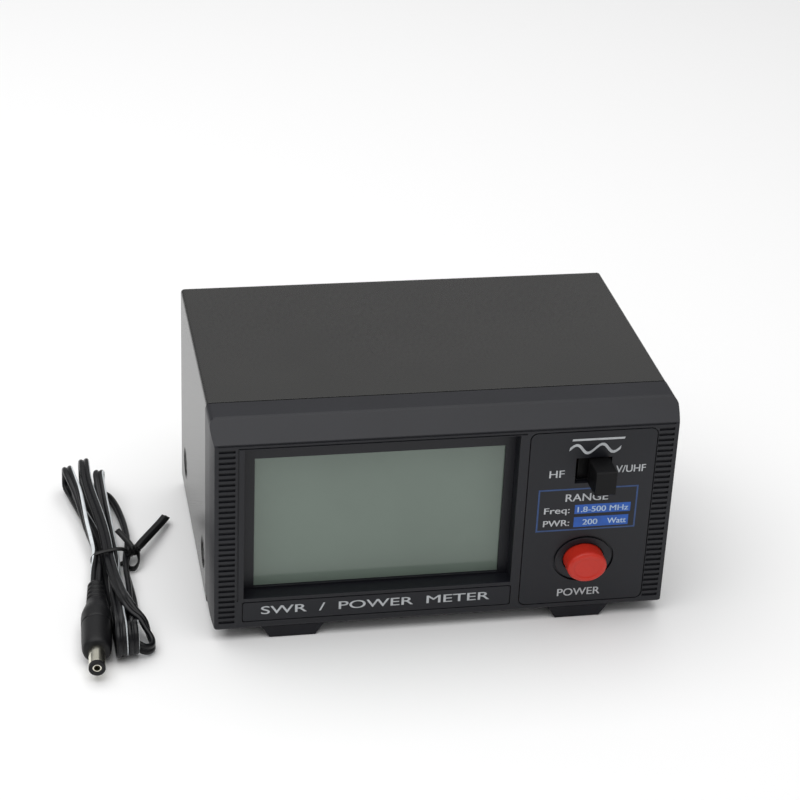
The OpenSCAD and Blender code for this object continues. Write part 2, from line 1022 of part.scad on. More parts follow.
module dc_jack_body() {
    color([0.1, 0.1, 0.1])
        front_frame()
            difference() {
                union() {
                    rod_y(0, case_d - 13, jack_z, 5.4, 14);
                    rod_y(0, case_d, jack_z, 6.8, 2.5);
                }
                rod_y(0, case_d - 7.5, jack_z, jack_bore_r, 12);
            }
}

module dc_jack_pin() {
    color([0.85, 0.83, 0.78])
        front_frame()
            rod_y(0, case_d - 7.5, jack_z, 1, 9);
}

module dc_jack_nut() {
    color([0.75, 0.75, 0.75])
        front_frame()
            difference() {
                translate([0, case_d - sheet - 2.6, jack_z])
                    rotate([-90, 0, 0])
                        cylinder(r = 8, h = 2.6, $fn = 6);
                rod_y(0, case_d - 6, jack_z, 5.45, 8);
            }
}

// A supply wire from the jack to the switch board, seen from above as a gentle S.
module power_wires() {
    color([0.7, 0.1, 0.1])
        front_frame()
            for (s = [-1, 1])
                tube(
                    [
                        [s * 2, case_d - 13, jack_z], [s * 2, 88, jack_z], [s * 2 + 3, 78, 9],
                        [s * 2 + 14, 64, 6], [s * 2 + 30, 50, 8], [s * 2 + 42, 40, 14],
                        [s * 2 + 44, 34, 26], [s * 2 + 44, 31, 30],
                        [s * 2 + 44, switch_back + board_t, 30]
                    ],
                    0.9, [0, 0, 1]
                );
}

module sensor_cables() {
    front = case_d - sheet - box_d;
    color([0.3, 0.3, 0.3])
        front_frame()
            for (s = [-1, 1])
                tube(
                    [
                        [s * box_x, front + 3, box_z + 8], [s * box_x, front - 6, box_z + 8],
                        [s * 30 - 2, front - 16, box_z + 4], [s * 18 - 6, 44, box_z + 2],
                        [s * 8 - 10, 34, box_z + 4], [s * 6 - 12, 24, box_z + 6],
                        [s * 6 - 12, lcd_back + board_t, box_z + 6]
                    ],
                    1.1, [0, 0, 1]
                );
}

// Supply lead --------------------------------------------------------------------------------

module plug_frame() {
    table_frame()
        translate([plug_x, plug_y, plug_axis_z])
            rotate([90, 0, -plug_turn])
                children();
}

// The moulded grip: ribbed strain relief, shoulder, waist line and taper.
module lead_plug_body() {
    color([0.08, 0.08, 0.08])
        plug_frame()
            difference() {
                rotate_extrude()
                    polygon([
                        [0, 0], [2.7, 0], [3.2, 1], [3.6, 12.5], [5.1, 19], [5.2, 20],
                        [5.2, 25], [5, 25.2], [5, 25.6], [5.1, 25.8], [5.1, 30],
                        [4.9, 36], [4.6, 38.6], [3.9, body_len], [0, body_len]
                    ]);
                for (i = [0:3])
                    rotate_extrude()
                        translate([3.55 + i * 0.1, 2.4 + i * 2.6])
                            square([1.4, 1.1], center = true);
            }
}

module lead_plug_sleeve() {
    color([0.75, 0.74, 0.68])
        plug_frame()
            translate([0, 0, body_len])
                difference() {
                    cylinder(r = plug_r, h = plug_len - 1.2);
                    translate([0, 0, -1])
                        cylinder(r = 2.2, h = plug_len + 2);
                }
}

module lead_plug_tip() {
    color([0.07, 0.07, 0.07])
        plug_frame()
            translate([0, 0, body_len])
                difference() {
                    union() {
                        cylinder(r = 2.2, h = plug_len - 1.2);
                        translate([0, 0, plug_len - 1.2])
                            cylinder(r = plug_r, h = 1.2);
                    }
                    translate([0, 0, -1])
                        cylinder(r = 1.5, h = plug_len + 2);
                }
}

module lead_plug_contact() {
    color([0.78, 0.77, 0.72])
        plug_frame()
            translate([0, 0, body_len])
                difference() {
                    cylinder(r = 1.5, h = plug_len - 0.3);
                    translate([0, 0, 1])
                        cylinder(r = 1.05, h = plug_len);
                }
}

module lead_tail() {
    color([0.08, 0.08, 0.08])
        table_frame()
            tube(tail_route, cord_r, [0, 0, 1]);
}

module hank_lobe(a, b) {
    hull()
        for (c = [a, b])
            translate([c[0], c[1]])
                circle(c[2], $fn = 32);
}

// The tied hank: two long loops with a narrow waist.
module lead_hank() {
    color([0.1, 0.1, 0.1])
        table_frame()
            linear_extrude(height = hank_h)
                union() {
                    hank_lobe(hank_top, hank_waist);
                    hank_lobe(hank_waist, hank_foot);
                }
}

// A wire tie over the waist, its twisted neck and its flat tail.
module twist_tie() {
    tie_y = hank_waist[1] - 1.1;
    reach = hank_waist[2] + 0.4;
    color([0.06, 0.06, 0.06])
        table_frame() {
            difference() {
                block(hank_waist[0], tie_y, (hank_h + 0.7) / 2, 2 * reach + 2, 2.2, hank_h + 0.7);
                block(hank_waist[0], tie_y - 1, hank_h / 2 - 0.5, 2 * reach + 0.2, 5, hank_h + 1);
            }
            translate([hank_waist[0] + reach + 0.8, tie_y + 1.1, 4.4])
                rotate([0, 0, 60])
                    translate([0, -1.1, 0]) {
                        cube([30, 2.2, 0.7]);
                        cube([7, 2.2, 2]);
                    }
        }
}

top_cover();
bottom_chassis();
rear_panel();
front_bezel();
front_feet();
rear_feet();
foot_screws();
bezel_screws();
cover_screws();
rear_screws();
lcd_frame();
lcd_glass();
lcd_backlight();
zebra_strips();
display_board();
controller_chip();
board_parts();
board_screws();
control_panel();
title_strip();
button_ring();
power_button();
power_plunger();
power_spring();
power_switch_frame();
power_switch_pins();
band_knob();
band_slider();
band_switch_frame();
band_switch_base();
band_switch_pins();
band_screws();
switch_board();
switch_board_screws();
socket_shells();
socket_insulators();
socket_contacts();
socket_screws();
hf_sensor_box();
hf_sensor_lid();
hf_line();
hf_toroid();
hf_board();
vuhf_sensor_box();
vuhf_sensor_lid();
vuhf_line();
vuhf_board();
dc_jack_body();
dc_jack_pin();
dc_jack_nut();
power_wires();
sensor_cables();
lead_plug_body();
lead_plug_sleeve();
lead_plug_tip();
lead_plug_contact();
lead_tail();
lead_hank();
twist_tie();
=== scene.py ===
import json
import math

import bmesh
import bpy
from mathutils import Matrix, Vector


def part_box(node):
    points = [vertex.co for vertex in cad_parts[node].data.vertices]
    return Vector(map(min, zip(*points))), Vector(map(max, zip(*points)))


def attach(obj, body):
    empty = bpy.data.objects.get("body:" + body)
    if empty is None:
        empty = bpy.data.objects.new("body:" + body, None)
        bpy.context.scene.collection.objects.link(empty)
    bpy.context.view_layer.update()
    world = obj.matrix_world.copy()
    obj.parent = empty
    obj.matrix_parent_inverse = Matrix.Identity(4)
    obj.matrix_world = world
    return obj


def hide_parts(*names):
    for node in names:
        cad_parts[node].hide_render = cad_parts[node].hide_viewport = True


# Looks for the standing wave ratio meter and its loose supply lead. Lengths are millimetres
# in the front frame: x to the right, y back from the front face, z up from the front's
# bottom edge. The lead's frame has the same x and y, with z up from the table. The studio,
# light and camera at the end are in metres.

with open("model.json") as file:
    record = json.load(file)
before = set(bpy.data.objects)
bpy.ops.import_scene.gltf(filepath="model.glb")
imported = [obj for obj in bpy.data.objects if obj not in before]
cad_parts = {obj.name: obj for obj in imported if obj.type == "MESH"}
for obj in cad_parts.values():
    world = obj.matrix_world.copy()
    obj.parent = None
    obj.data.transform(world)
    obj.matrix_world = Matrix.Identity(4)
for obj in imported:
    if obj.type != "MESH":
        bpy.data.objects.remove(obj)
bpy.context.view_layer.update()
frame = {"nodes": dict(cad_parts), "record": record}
NODES = frame["nodes"]

MM = 0.001
# How far the bezel's toes reach below its front's bottom edge
TOE = 2.6
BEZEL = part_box("front_bezel")
FRONT = Vector((0, BEZEL[0].y, BEZEL[0].z + TOE * MM))


def front(x, y, z):
    """A point in the front frame, in metres."""
    return FRONT + Vector((x, y, z)) * MM


def table(x, y, z):
    """A point in the lead's frame, in metres."""
    return Vector((x * MM, FRONT.y + y * MM, z * MM))


# Materials ---------------------------------------------------------------------------------

def add(tree, kind, **values):
    """A new node; a value goes to the socket of its name, or else to the node's setting."""
    node = tree.nodes.new(kind)
    for key, value in values.items():
        if key in node.inputs:
            node.inputs[key].default_value = value
        else:
            setattr(node, key, value)
    return node


def link(tree, source, target):
    tree.links.new(source, target)


def coordinates(tree, stretch=(1, 1, 1)):
    """Object coordinates in millimetres, stretched where a finish runs one way."""
    place = add(tree, "ShaderNodeTexCoord")
    scale = add(tree, "ShaderNodeMapping")
    scale.inputs["Scale"].default_value = [1000 * s for s in stretch]
    link(tree, place.outputs["Object"], scale.inputs["Vector"])
    return scale.outputs["Vector"]


def noise(tree, at, scale, detail=2.0, roughness=0.5):
    """A noise from 0 to 1, with scale in changes per millimetre."""
    node = add(tree, "ShaderNodeTexNoise", Scale=scale, Detail=detail, Roughness=roughness)
    link(tree, at, node.inputs["Vector"])
    return node.outputs["Fac"]


def spread(tree, value, low, high, from_low=0.3, from_high=0.7):
    """A value taken from one range to another, and held at its ends."""
    node = add(tree, "ShaderNodeMapRange")
    node.inputs["From Min"].default_value = from_low
    node.inputs["From Max"].default_value = from_high
    node.inputs["To Min"].default_value = low
    node.inputs["To Max"].default_value = high
    link(tree, value, node.inputs["Value"])
    return node.outputs["Result"]


def mix(tree, value, dark, light):
    """A colour between dark, where the value is 0, and light, where it is 1."""
    node = add(tree, "ShaderNodeMix", data_type="RGBA")
    node.inputs["A"].default_value = (*dark, 1)
    node.inputs["B"].default_value = (*light, 1)
    link(tree, value, node.inputs["Factor"])
    return node.outputs["Result"]


# How much lighter the colour of a rubbed edge is: a factor, and a grey added to it
RUB_GAIN = 2.2
RUB_GREY = 0.02


def finish(
    name, colour, rough, metal=0.0, specular=0.5, shade=0.15, patch=0.06, grain=4.0,
    depth=0.02, rough_spread=0.06, stretch=(1, 1, 1), edge=0.0, wear=0.0
):
    """A finish with broad changes of tone, a fine grain in the surface and in its gloss,
    softened edges of radius edge, and edges rubbed lighter by wear."""
    material = bpy.data.materials.new(name)
    material.use_nodes = True
    tree = material.node_tree
    shader = tree.nodes["Principled BSDF"]
    at = coordinates(tree, stretch)
    broad = noise(tree, at, patch, 3)
    fine = noise(tree, at, grain, 3, 0.6)
    dark = [c * (1 - shade) for c in colour]
    light = [min(1, c * (1 + shade)) for c in colour]
    tone = mix(tree, spread(tree, broad, 0, 1), dark, light)
    gloss = spread(tree, fine, rough - rough_spread, rough + rough_spread)
    bump = add(tree, "ShaderNodeBump", Strength=0.6, Distance=depth * MM)
    link(tree, fine, bump.inputs["Height"])
    if edge:
        soft = add(tree, "ShaderNodeBevel", samples=4, Radius=edge * MM)
        link(tree, soft.outputs["Normal"], bump.inputs["Normal"])
        if wear:
            plain = add(tree, "ShaderNodeNewGeometry")
            match = add(tree, "ShaderNodeVectorMath", operation="DOT_PRODUCT")
            link(tree, soft.outputs["Normal"], match.inputs[0])
            link(tree, plain.outputs["Normal"], match.inputs[1])
            worn = spread(tree, match.outputs["Value"], wear, 0, 0.9, 0.99)
            rubbed = add(tree, "ShaderNodeMix", data_type="RGBA")
            pale = [min(1, c * RUB_GAIN + RUB_GREY) for c in colour]
            rubbed.inputs["B"].default_value = (*pale, 1)
            link(tree, worn, rubbed.inputs["Factor"])
            link(tree, tone, rubbed.inputs["A"])
            tone = rubbed.outputs["Result"]
    link(tree, tone, shader.inputs["Base Color"])
    link(tree, gloss, shader.inputs["Roughness"])
    link(tree, bump.outputs["Normal"], shader.inputs["Normal"])
    shader.inputs["Metallic"].default_value = metal
    shader.inputs["Specular IOR Level"].default_value = specular
    return material


def board_finish():
    """Green solder mask over copper tracks."""
    material = finish("circuit_board", (0.02, 0.12, 0.05), 0.35, shade=0.2, patch=0.1)
    tree = material.node_tree
    shader = tree.nodes["Principled BSDF"]
    at = coordinates(tree)
    tracks = add(tree, "ShaderNodeTexBrick", Scale=0.35)
    tracks.inputs["Mortar Size"].default_value = 0.03
    tracks.inputs["Color1"].default_value = (0.018, 0.11, 0.045, 1)
    tracks.inputs["Color2"].default_value = (0.024, 0.14, 0.06, 1)
    tracks.inputs["Mortar"].default_value = (0.05, 0.25, 0.1, 1)
    link(tree, at, tracks.inputs["Vector"])
    link(tree, tracks.outputs["Color"], shader.inputs["Base Color"])
    return material


PAINT = finish(
    "cover_paint", (0.0142, 0.014, 0.0131), 0.27, specular=0.56, shade=0.12, patch=0.03,
    grain=2.2, depth=0.025, rough_spread=0.05, edge=0.3
)
BEZEL_PLASTIC = finish(
    "bezel_plastic", (0.008, 0.0085, 0.0122), 0.44, specular=0.38, shade=0.12, patch=0.04,
    grain=5, depth=0.02, rough_spread=0.05, edge=0.25, wear=0.3
)
BLACK_PLASTIC = finish(
    "black_plastic", (0.0045, 0.0045, 0.005), 0.42, specular=0.17, grain=6, depth=0.012,
    edge=0.25, wear=0.2
)
FOOT_PLASTIC = finish(
    "foot_plastic", (0.006, 0.006, 0.0095), 0.6, specular=0.3, grain=3, depth=0.03, edge=0.3,
    wear=0.3
)
OVERLAY = finish(
    "overlay_print", (0.0078, 0.0085, 0.0125), 0.42, specular=0.36, shade=0.08, patch=0.05,
    grain=7, depth=0.008, rough_spread=0.04, edge=0.15
)
GLASS = finish(
    "lcd_glass", (0.175, 0.222, 0.188), 0.09, specular=0.5, shade=0.05, patch=0.03, grain=0.4,
    depth=0.004, rough_spread=0.02
)
RED = finish(
    "button_red", (0.6, 0.028, 0.014), 0.36, specular=0.38, shade=0.06, patch=0.12, grain=5,
    depth=0.012, rough_spread=0.06, edge=0.3
)
INK_SILVER = finish(
    "ink_silver", (0.52, 0.54, 0.56), 0.5, shade=0.1, patch=0.5, grain=6, depth=0.01
)
INK_BLUE = finish(
    "ink_blue", (0.006, 0.095, 0.46), 0.42, shade=0.12, patch=0.4, grain=6, depth=0.01
)
INK_LINE = finish(
    "ink_line", (0.018, 0.06, 0.19), 0.42, shade=0.15, patch=0.4, grain=6, depth=0.01
)
INK_PALE = finish(
    "ink_pale", (0.45, 0.58, 0.72), 0.5, shade=0.08, patch=0.5, grain=6, depth=0.01
)
ZINC = finish(
    "zinc_steel", (0.56, 0.57, 0.58), 0.34, metal=1.0, shade=0.12, patch=0.12, grain=3,
    depth=0.01, stretch=(1, 0.15, 1), edge=0.2
)
SCREW_BLACK = finish(
    "black_screw", (0.02, 0.02, 0.021), 0.4, metal=0.6, grain=5, depth=0.012, edge=0.15,
    wear=0.5
)
NICKEL = finish(
    "nickel_plate", (0.77, 0.75, 0.64), 0.22, metal=1.0, shade=0.08, patch=0.3, grain=6,
    depth=0.006, rough_spread=0.08, edge=0.15
)
TINNED = finish(
    "tinned_metal", (0.66, 0.66, 0.63), 0.36, metal=1.0, shade=0.12, patch=0.2, grain=4,
    depth=0.012
)
BRASS = finish(
    "brass_contact", (0.72, 0.5, 0.2), 0.26, metal=1.0, shade=0.12, patch=0.3, grain=6,
    depth=0.006, edge=0.1
)
COPPER = finish(
    "copper_line", (0.72, 0.33, 0.16), 0.32, metal=1.0, shade=0.15, patch=0.2, grain=4,
    depth=0.01
)
FERRITE = finish("ferrite", (0.035, 0.035, 0.04), 0.7, grain=2, depth=0.05, edge=0.3)
WHITE_PLASTIC = finish(
    "white_plastic", (0.78, 0.77, 0.72), 0.42, shade=0.05, patch=0.2, grain=4, depth=0.01,
    edge=0.2
)
RUBBER = finish("contact_rubber", (0.35, 0.16, 0.22), 0.6, grain=4, depth=0.02)
LAMINATE = finish(
    "brown_laminate", (0.2, 0.1, 0.045), 0.5, shade=0.25, patch=0.3, grain=3, depth=0.02,
    stretch=(0.2, 1, 1)
)
WIRE_RED = finish("wire_red", (0.5, 0.02, 0.02), 0.4, grain=3, depth=0.02)
CORD_BLACK = finish(
    "cord_black", (0.0038, 0.004, 0.0052), 0.32, specular=0.3, shade=0.2, patch=0.12,
    grain=2.5, depth=0.03, rough_spread=0.08
)
CORD_STRIPE = finish(
    "cord_stripe", (0.7, 0.74, 0.76), 0.42, shade=0.12, patch=0.25, grain=3, depth=0.02
)
PLUG_RUBBER = finish(
    "plug_rubber", (0.0045, 0.0045, 0.0055), 0.48, specular=0.3, shade=0.2, patch=0.1,
    grain=3.5, depth=0.03, rough_spread=0.08
)
TIE_PLASTIC = finish(
    "tie_plastic", (0.004, 0.004, 0.0045), 0.4, specular=0.3, shade=0.2, patch=0.4,
    grain=3, depth=0.03
)
BOARD = board_finish()

FINISHES = {
    "cover_paint": PAINT, "zinc_steel": ZINC, "black_screw": SCREW_BLACK,
    "bezel_plastic": BEZEL_PLASTIC, "foot_plastic": FOOT_PLASTIC,
    "black_plastic": BLACK_PLASTIC, "lcd_glass": GLASS, "white_plastic": WHITE_PLASTIC,
    "contact_rubber": RUBBER, "circuit_board": BOARD, "overlay_print": OVERLAY,
    "button_red": RED, "brown_laminate": LAMINATE, "tinned_metal": TINNED,
    "nickel_plate": NICKEL, "brass_contact": BRASS, "copper_line": COPPER,
    "ferrite": FERRITE, "wire_red": WIRE_RED, "cord_black": CORD_BLACK,
    "plug_rubber": PLUG_RUBBER,
}

for part in frame["record"]["subparts"]:
    node = NODES[part["node"]]
    node.data.materials.clear()
    node.data.materials.append(FINISHES[part["material_slot"]])


# Mesh helpers ------------------------------------------------------------------------------

def piece(name, mesh, materials, body, smooth=True):
    """A visible piece that rides on a body."""
    made = bpy.data.objects.new(name, mesh)
    bpy.context.scene.collection.objects.link(made)
    for material in materials:
        mesh.materials.append(material)
    if smooth:
        mesh.shade_smooth()
    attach(made, body)
    return made


def mesh_from(name, points, faces, kinds=None):
    """A mesh with its faces turned outwards; kinds are the faces' material numbers."""
    mesh = bpy.data.meshes.new(name)
    mesh.from_pydata([tuple(p) for p in points], [], faces)
    if kinds:
        for face, kind in zip(mesh.polygons, kinds):
            face.material_index = kind
    mesh.update()
    shape = bmesh.new()
    shape.from_mesh(mesh)
    bmesh.ops.recalc_face_normals(shape, faces=shape.faces)
    shape.to_mesh(mesh)
    shape.free()
    return mesh


def rings(rows, sides, start=0, closed=False):
    """Faces between neighbouring rings of points; closed joins the last ring to the first."""
    faces = []
    for i in range(rows if closed else rows - 1):
        a, b = start + i * sides, start + (i + 1) % rows * sides
        for k in range(sides):
            n = (k + 1) % sides
            faces.append((a + k, a + n, b + n, b + k))
    return faces


def caps(rows, sides, start=0):
    """The two faces that close the first and the last ring."""
    last = start + (rows - 1) * sides
    return [tuple(range(start, start + sides)), tuple(range(last, last + sides))]


def join(points, faces, part):
    """Adds another part's points and faces to the ones of a mesh."""
    more, loops = part[:2]
    faces += [tuple(len(points) + i for i in f) for f in loops]
    points += more


# The length of the short steps that a smooth line is first cut into
FINE_CUT = 0.25


def smooth_line(stations, step=1.0):
    """A centripetal Catmull-Rom line through given stations, which are points with or
    without a tilt, cut at every step of its length."""
    rows = [list(s) for s in stations]
    first = [2 * a - b for a, b in zip(rows[0], rows[1])]
    last = [2 * a - b for a, b in zip(rows[-1], rows[-2])]
    rows = [first, *rows, last]
    gaps = [max(0.01, math.dist(a[:3], b[:3])) ** 0.5 for a, b in zip(rows, rows[1:])]
    fine = []
    for i in range(1, len(rows) - 2):
        a, b, c, d = rows[i - 1:i + 3]
        s, t, u = gaps[i - 1:i + 2]
        count = max(2, round(math.dist(b[:3], c[:3]) / FINE_CUT))
        for k in range(count):
            f = k / count
            row = []
            for p, q, r, v in zip(a, b, c, d):
                m1 = t * ((q - p) / s - (r - p) / (s + t)) + (r - q)
                m2 = t * ((v - r) / u - (v - q) / (t + u)) + (r - q)
                row.append(
                    q * (2 * f ** 3 - 3 * f ** 2 + 1) + r * (3 * f ** 2 - 2 * f ** 3)
                    + m1 * (f ** 3 - 2 * f ** 2 + f) + m2 * (f ** 3 - f ** 2)
                )
            fine.append(row)
    fine.append(rows[-2])
    even, left = [fine[0]], step
    for a, b in zip(fine, fine[1:]):
        left -= math.dist(a[:3], b[:3])
        if left <= 0:
            even.append(b)
            left += step
    if math.dist(even[-1][:3], fine[-1][:3]) > 0.3 * step:
        even.append(fine[-1])
    else:
        even[-1] = fine[-1]
    return even


def sweep(line, section):
    """Sweeps a section of (across, up, kind) points along a line of (x, y, z, tilt) in the
    lead's frame. A tilt of 0 keeps the width level, and 90 stands it on edge."""
    points, count, sides = [], len(line), len(section)
    for i, row in enumerate(line):
        ahead = Vector(line[min(i + 1, count - 1)][:3])
        behind = Vector(line[max(i - 1, 0)][:3])
        way = (ahead - behind).normalized()
        tilt = math.radians(row[3])
        width = Vector((math.cos(tilt), 0, math.sin(tilt)))
        width = (width - way * width.dot(way)).normalized()
        rise = width.cross(way)
        for across, up, _ in section:
            points.append(table(*(Vector(row[:3]) + width * across + rise * up)))
    kinds = [kind for _, _, kind in section] * (count - 1) + [0, 0]
    return points, rings(count, sides) + caps(count, sides), kinds


def lathe(profile, steps):
    """Turns a profile of (along, radius) round an axis, into points (along, x, y)."""
    turns = [2 * math.pi * k / steps for k in range(steps)]
    points = [
        Vector((along, radius * math.cos(a), radius * math.sin(a)))
        for along, radius in profile for a in turns
    ]
    return points, rings(len(profile), steps) + caps(len(profile), steps)


# Supply lead -------------------------------------------------------------------------------

# The cord is flat twin cord, 4 by 2 mm, with a pale stripe along one edge. Its route is
# x, y, z and the tilt of its width. Six runs make the tied hank, with five folds. At the
# front right a small loop turns the last run back, and its end is tucked into the hank.
CORD_W = 4.0
CORD_T = 2.0
STRIPE_FROM = -31
STRIPE_TO = 49
PLUG_AT = (-114.9, 31, 5.2)
PLUG_TURN = math.radians(3)
PLUG_STEP = 0.3


def fold(x, y, low, high, sense, far=1, tilt=0):
    """Three stations round the end of a fold, an eighth of a turn from each other, from
    height low to high or back: far is 1 at the rear and -1 at the front."""
    middle, radius = (low + high) / 2, (high - low) / 2
    turn = [0.71, 0, -0.71] if sense == "down" else [-0.71, 0, 0.71]
    return [
        (x, y + far * radius * math.sqrt(1 - s * s), middle + radius * s, tilt)
        for s in turn
    ]


ROUTE = [
    # from the plug, under the tie at the left, to the left rear fold
    (-114.9, 31, 5.2, 180), (-114.6, 35, 5.3, 178), (-114.2, 40, 5.4, 165),
    (-113.7, 46, 5.3, 140), (-113.6, 52, 4.9, 118), (-114.6, 60, 5.2, 98),
    (-116.0, 70, 6.0, 80), (-117.0, 79, 7.4, 65), (-118.2, 88, 9.4, 48),
    (-119.9, 95, 11.1, 30), (-120.9, 100, 11.6, 20),
    *fold(-121.0, 100, 1.3, 11.7, "down", tilt=12),
    # low down to the first front fold
    (-119.9, 100, 1.9, 35), (-119.0, 94, 2.5, 58), (-117.4, 87, 2.5, 58),
    (-115.2, 79, 2.2, 45), (-113.3, 70, 1.7, 25), (-112.2, 60, 1.5, 5),
    (-111.7, 51, 1.6, 0), (-111.6, 42, 1.25, 0), (-111.2, 32, 1.25, 0),
    (-110.0, 20, 1.25, 0), (-109.0, 8, 1.25, 0), (-108.7, -4, 1.25, 0),
    *fold(-108.7, -4.3, 1.2, 11.6, "up", far=-1, tilt=8),
    # over the front fold, up to the right rear fold
    (-108.6, -3.6, 11.5, 14), (-108.6, 4, 10.0, 18), (-108.5, 12, 7.8, 18),
    (-108.6, 20, 5.8, 14), (-108.6, 29, 4.7, 10), (-108.4, 38, 4.0, 8),
    (-107.8, 46, 3.6, 8), (-107.6, 52, 3.5, 8), (-107.9, 60, 4.1, 14),
    (-108.3, 69, 5.3, 22), (-108.8, 77, 6.9, 24), (-109.4, 85, 8.8, 22),
    (-109.9, 92, 10.9, 18), (-110.0, 96.4, 11.5, 14),
    *fold(-109.4, 96.4, 1.3, 11.5, "down", tilt=-8),
    # on edge down the right side to the second front fold
    (-108.3, 97.6, 2.1, -45), (-106.4, 94.5, 2.3, -78), (-104.4, 88, 2.2, -90),
    (-103.0, 80, 2.2, -90), (-102.2, 72, 2.3, -90), (-101.9, 64, 2.4, -90),
    (-102.5, 57, 2.6, -90), (-103.4, 51, 2.7, -90), (-103.7, 43, 2.8, -84),
    (-103.3, 35, 2.9, -70), (-103.1, 27, 3.0, -50), (-103.2, 19, 3.1, -25),
    (-103.5, 12, 3.9, 0), (-104.1, 6, 6.0, 12), (-104.7, 1, 9.0, 14), (-104.9, -2.6, 10.9, 10),
    *fold(-104.9, -3.0, 1.1, 11.3, "down", far=-1, tilt=5),
    # low back to the middle rear fold
    (-105.1, 3, 1.25, 0), (-105.6, 12, 1.25, 0), (-106.3, 22, 1.25, 0),
    (-107.0, 32, 1.25, 0), (-107.4, 42, 1.4, 0), (-107.4, 51, 1.6, 0),
    (-107.8, 60, 1.25, 0), (-109.2, 70, 1.25, 0), (-111.2, 80, 1.25, 0),
    (-113.2, 90, 1.2, 0), (-114.3, 98, 1.3, 2),
    *fold(-114.7, 105, 1.3, 11.7, "up", tilt=10),
    # on top of the hank, over the right side, into the loose loop at the right
    (-114.7, 103, 11.6, 18), (-114.4, 94, 10.6, 24), (-113.2, 85, 9.2, 26),
    (-111.7, 76, 8.0, 26), (-110.5, 67, 7.1, 24), (-109.8, 59, 6.3, 20),
    (-109.5, 51, 5.8, 18), (-109.2, 44, 6.0, 18), (-108.6, 36, 6.6, 18),
    (-107.8, 28, 7.4, 18), (-106.9, 20, 8.6, 18), (-105.8, 14, 9.5, 14),
    (-104.0, 10, 8.4, -4), (-100.9, 6.6, 6.3, -40), (-99.5, 3.0, 3.9, -68),
    (-98.3, -0.8, 2.4, -88), (-98.7, -4.2, 2.2, -90), (-101.2, -6.1, 3.1, -90),
    (-103.9, -4.8, 4.5, -90), (-106.2, -1.4, 5.0, -94), (-107.9, 3.0, 4.7, -104),
    (-108.8, 8.5, 4.3, -118), (-109.1, 14, 3.8, -130), (-108.9, 20, 3.5, -150),
]


def cord_section():
    """Two round cores side by side; kind 1 is the stripe on the first core's edge."""
    r = CORD_T / 2
    off = CORD_W / 2 - r
    first = [math.radians(a) for a in range(-150, 151, 20)]
    second = [math.radians(a) for a in range(30, 331, 20)]
    striped = [1 if STRIPE_FROM < math.degrees(a) < STRIPE_TO else 0 for a in first]
    return [
        *[(off + r * math.cos(a), r * math.sin(a), k) for a, k in zip(first, striped)],
        *[(-off + r * math.cos(a), r * math.sin(a), 0) for a in second],
    ]


cord_line = smooth_line(ROUTE, 1.0)
cord = piece(
    "lead_cord",
    mesh_from("lead_cord", *sweep(cord_line, cord_section())),
    [CORD_BLACK, CORD_STRIPE], "power_lead"
)
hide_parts("lead_tail", "lead_hank")


def plug_place(along, x, y):
    """A point on the plug: along its axis from the cord's end, x across and y up."""
    ahead = Vector((-math.sin(PLUG_TURN), -math.cos(PLUG_TURN), 0))
    side = Vector((math.cos(PLUG_TURN), -math.sin(PLUG_TURN), 0))
    return table(*(Vector(PLUG_AT) + ahead * along + side * x + Vector((0, 0, 1)) * y))


def plug_profile():
    """The grip's radius along its axis: tapered strain relief, shoulder, waist line, nose.
    Between the stops there are steps of about PLUG_STEP, which the grooves need."""
    stops = [
        (0, 2.3), (0.3, 2.6), (1.0, 2.9), (4, 3.05), (8, 3.25), (12.5, 3.5), (14.5, 3.9),
        (17, 4.6), (19, 5.05), (20.5, 5.2), (24.6, 5.2), (24.9, 5.05), (25.3, 4.95), (25.7, 5.05),
        (26, 5.15), (30, 5.12), (34, 5.08), (36.5, 5.02), (38.2, 4.88), (39.2, 4.66), (39.8, 4.25),
        (40, 3.8), (40, 2.3),
    ]
    line = []
    for (a, r), (b, s) in zip(stops, stops[1:]):
        count = max(1, round((b - a) / PLUG_STEP))
        line += [(a + (b - a) * k / count, r + (s - r) * k / count) for k in range(count)]
    return [*line, stops[-1]]


GROOVE_FIRST = 2.6
GROOVE_PITCH = 2.7
GROOVES_FROM = 1.2
GROOVES_TO = 12.4
GROOVE_DEPTH = 0.24
BRIDGE = 0.35
BRIDGE_SOFT = 0.25


def plug_grip():
    """The moulded grip. Four grooves are cut in the top and in the bottom of its strain
    relief, GROOVE_DEPTH of the radius deep, and an uncut bridge is left at each side."""
    points, faces = lathe(plug_profile(), 72)
    shaped = []
    for along, x, y in points:
        wave = math.cos(2 * math.pi * (along - GROOVE_FIRST) / GROOVE_PITCH)
        groove = max(0.0, wave) if GROOVES_FROM < along < GROOVES_TO else 0.0
        turn = abs(math.atan2(y, x))
        cut = min(1.0, max(0.0, (turn % math.pi - BRIDGE) / BRIDGE_SOFT))
        cut *= min(1.0, max(0.0, (math.pi - BRIDGE - turn) / BRIDGE_SOFT))
        keep = 1 - GROOVE_DEPTH * groove ** 0.6 * cut
        shaped.append(plug_place(along, x * keep, y * keep))
    return mesh_from("lead_plug_grip", shaped, faces)


grip = piece("lead_plug_grip", plug_grip(), [PLUG_RUBBER], "power_lead")
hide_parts("lead_plug_body")


BARE_R = 0.45


